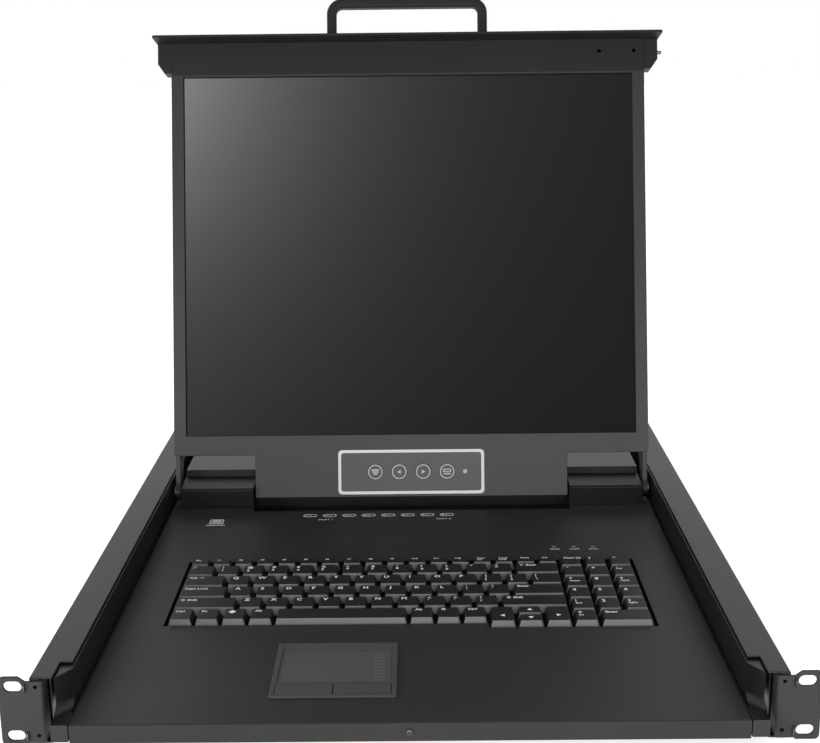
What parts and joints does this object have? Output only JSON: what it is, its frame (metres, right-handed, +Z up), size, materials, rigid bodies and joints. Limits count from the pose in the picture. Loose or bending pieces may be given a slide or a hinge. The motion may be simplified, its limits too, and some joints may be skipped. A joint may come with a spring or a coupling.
{
  "type": "rack console drawer with keyboard, display and port switch",
  "caption": "Rack-mounted telescopic drawer with keyboard, touchpad, fold-up display and a port switch box behind the hinges.",
  "frame": {"origin": "centre of the four slots of the front rack ears, on the ears' front face", "axes": "+X to the right, +Y towards the rear of the rack, +Z up; the drawer opens towards -Y"},
  "size_m": [0.4826, 0.6525, 0.4303],
  "materials": {
    "rack_ears": "black powder coat, fine texture",
    "rails": "black powder coat",
    "slides": "zinc plated steel",
    "screws": "black zinc",
    "drawer_steel": "dark grey powder coat, fine texture",
    "deck": "dark grey powder coat, fine texture",
    "lights": "clear",
    "keys": "matt black",
    "inner_plastic": "matt",
    "inner_steel": "zinc plated",
    "board": "green solder mask",
    "touchpad_plastic": "matt black",
    "bezel": "grey powder coat",
    "glass": "dark, slightly reflective",
    "lcd_module": "module body",
    "overlay": "printed film",
    "bar": "black powder coat",
    "latch": "polished",
    "sockets": "plated shell",
    "supply": "plain",
    "hinge_steel": "plain",
    "inlet_plastic": "black moulding"
  },
  "bodies": {
    "chassis": {"ear_left": "rack_ears", "ear_right": "rack_ears", "side_rail_left": "rails", "side_rail_right": "rails", "cross_ties": "rails", "rear_brackets": "rack_ears", "chassis_screws": "screws", "slide_outers": "slides"},
    "slide_members": {"slide_middles": "slides"},
    "outer_cages": {"ball_cages_outer": "slides"},
    "inner_cages": {"ball_cages_inner": "slides"},
    "drawer": {"slide_inners": "slides", "drawer_side_left": "drawer_steel", "drawer_side_right": "drawer_steel", "drawer_pan": "drawer_steel", "keyboard_deck": "deck", "front_lock_screw": "screws", "status_lights": "lights", "keyboard_backplate": "inner_steel", "keyboard_membrane": "inner_plastic", "key_guide": "inner_plastic", "touchpad_frame": "touchpad_plastic", "touchpad_surface": "touchpad_plastic", "touchpad_board": "board", "hinge_cover_left": "drawer_steel", "hinge_cover_right": "drawer_steel", "hinge_barrels": "hinge_steel", "box_cover": "drawer_steel", "rear_panel": "drawer_steel", "kvm_board": "board", "power_supply": "supply", "port_sockets": "sockets", "power_inlet": "inlet_plastic"},
    "display": {"hinge_shafts": "hinge_steel", "display_shell": "bezel", "display_bezel": "bezel", "screen_glass": "glass", "panel_module": "lcd_module", "control_overlay": "overlay", "control_board": "board", "display_light": "lights", "front_bar": "bar", "front_plate": "bar", "end_blocks": "bar", "pull_handle": "bar"},
    "latch_pin": {"latch_pin": "latch"},
    "power_rocker": {"power_rocker": "inlet_plastic"},
    "function_keys": {"function_keys": "keys"},
    "number_keys": {"number_keys": "keys"},
    "letter_keys": {"letter_keys": "keys"},
    "bottom_keys": {"bottom_keys": "keys"},
    "space_bar": {"space_bar": "keys"},
    "arrow_keys": {"arrow_keys": "keys"},
    "number_pad_keys": {"number_pad_keys": "keys"},
    "touchpad_button_left": {"touchpad_button_left": "touchpad_plastic"},
    "touchpad_button_right": {"touchpad_button_right": "touchpad_plastic"},
    "menu_button": {"menu_button": "overlay"},
    "down_button": {"down_button": "overlay"},
    "up_button": {"up_button": "overlay"},
    "auto_button": {"auto_button": "overlay"}
  },
  "joints": [
    {"name": "drawer_slide", "type": "slide", "parent": "chassis", "child": "drawer", "axis": [0, -1, 0], "range_m": [0, 0.4]},
    {"name": "middle_slide", "type": "slide", "parent": "chassis", "child": "slide_members", "axis": [0, -1, 0], "range_m": [0, 0.2]},
    {"name": "outer_cage_slide", "type": "slide", "parent": "chassis", "child": "outer_cages", "axis": [0, -1, 0], "range_m": [0, 0.1]},
    {"name": "inner_cage_slide", "type": "slide", "parent": "chassis", "child": "inner_cages", "axis": [0, -1, 0], "range_m": [0, 0.3]},
    {"name": "display_hinge", "type": "hinge", "parent": "drawer", "child": "display", "pos_m": [0, 0.3574, 0.0085], "axis": [1, 0, 0], "range_deg": [-8, 105.35]},
    {"name": "latch_pin_slide", "type": "slide", "parent": "display", "child": "latch_pin", "axis": [-1, 0, 0], "range_m": [0, 0.0035], "stiffness_N_per_m": 800, "springref_m": -0.002},
    {"name": "rocker_pivot", "type": "hinge", "parent": "drawer", "child": "power_rocker", "pos_m": [0.1456, 0.5732, 0.002], "axis": [1, 0, 0], "range_deg": [0, 16]},
    {"name": "function_keys_press", "type": "slide", "parent": "drawer", "child": "function_keys", "axis": [0, 0, -1], "range_m": [0, 0.0025], "stiffness_N_per_m": 3400, "springref_m": -0.001},
    {"name": "number_keys_press", "type": "slide", "parent": "drawer", "child": "number_keys", "axis": [0, 0, -1], "range_m": [0, 0.0025], "stiffness_N_per_m": 2800, "springref_m": -0.001},
    {"name": "letter_keys_press", "type": "slide", "parent": "drawer", "child": "letter_keys", "axis": [0, 0, -1], "range_m": [0, 0.0025], "stiffness_N_per_m": 7800, "springref_m": -0.001},
    {"name": "bottom_keys_press", "type": "slide", "parent": "drawer", "child": "bottom_keys", "axis": [0, 0, -1], "range_m": [0, 0.0025], "stiffness_N_per_m": 1400, "springref_m": -0.001},
    {"name": "space_bar_press", "type": "slide", "parent": "drawer", "child": "space_bar", "axis": [0, 0, -1], "range_m": [0, 0.0025], "stiffness_N_per_m": 200, "springref_m": -0.001},
    {"name": "arrow_keys_press", "type": "slide", "parent": "drawer", "child": "arrow_keys", "axis": [0, 0, -1], "range_m": [0, 0.0025], "stiffness_N_per_m": 800, "springref_m": -0.001},
    {"name": "number_pad_keys_press", "type": "slide", "parent": "drawer", "child": "number_pad_keys", "axis": [0, 0, -1], "range_m": [0, 0.0025], "stiffness_N_per_m": 3400, "springref_m": -0.001},
    {"name": "touchpad_button_left_press", "type": "slide", "parent": "drawer", "child": "touchpad_button_left", "axis": [0, 0, -1], "range_m": [0, 0.0005], "stiffness_N_per_m": 1500, "springref_m": -0.0003},
    {"name": "touchpad_button_right_press", "type": "slide", "parent": "drawer", "child": "touchpad_button_right", "axis": [0, 0, -1], "range_m": [0, 0.0005], "stiffness_N_per_m": 1500, "springref_m": -0.0003},
    {"name": "menu_button_press", "type": "slide", "parent": "display", "child": "menu_button", "axis": [0, 0.9643, -0.2647], "range_m": [0, 0.0005], "stiffness_N_per_m": 1500, "springref_m": -0.0003},
    {"name": "down_button_press", "type": "slide", "parent": "display", "child": "down_button", "axis": [0, 0.9643, -0.2647], "range_m": [0, 0.0005], "stiffness_N_per_m": 1500, "springref_m": -0.0003},
    {"name": "up_button_press", "type": "slide", "parent": "display", "child": "up_button", "axis": [0, 0.9643, -0.2647], "range_m": [0, 0.0005], "stiffness_N_per_m": 1500, "springref_m": -0.0003},
    {"name": "auto_button_press", "type": "slide", "parent": "display", "child": "auto_button", "axis": [0, 0.9643, -0.2647], "range_m": [0, 0.0005], "stiffness_N_per_m": 1500, "springref_m": -0.0003}
  ],
  "couplings": [
    {"joint": "middle_slide", "follows": "drawer_slide", "ratio": 0.5},
    {"joint": "outer_cage_slide", "follows": "drawer_slide", "ratio": 0.25},
    {"joint": "inner_cage_slide", "follows": "drawer_slide", "ratio": 0.75}
  ]
}
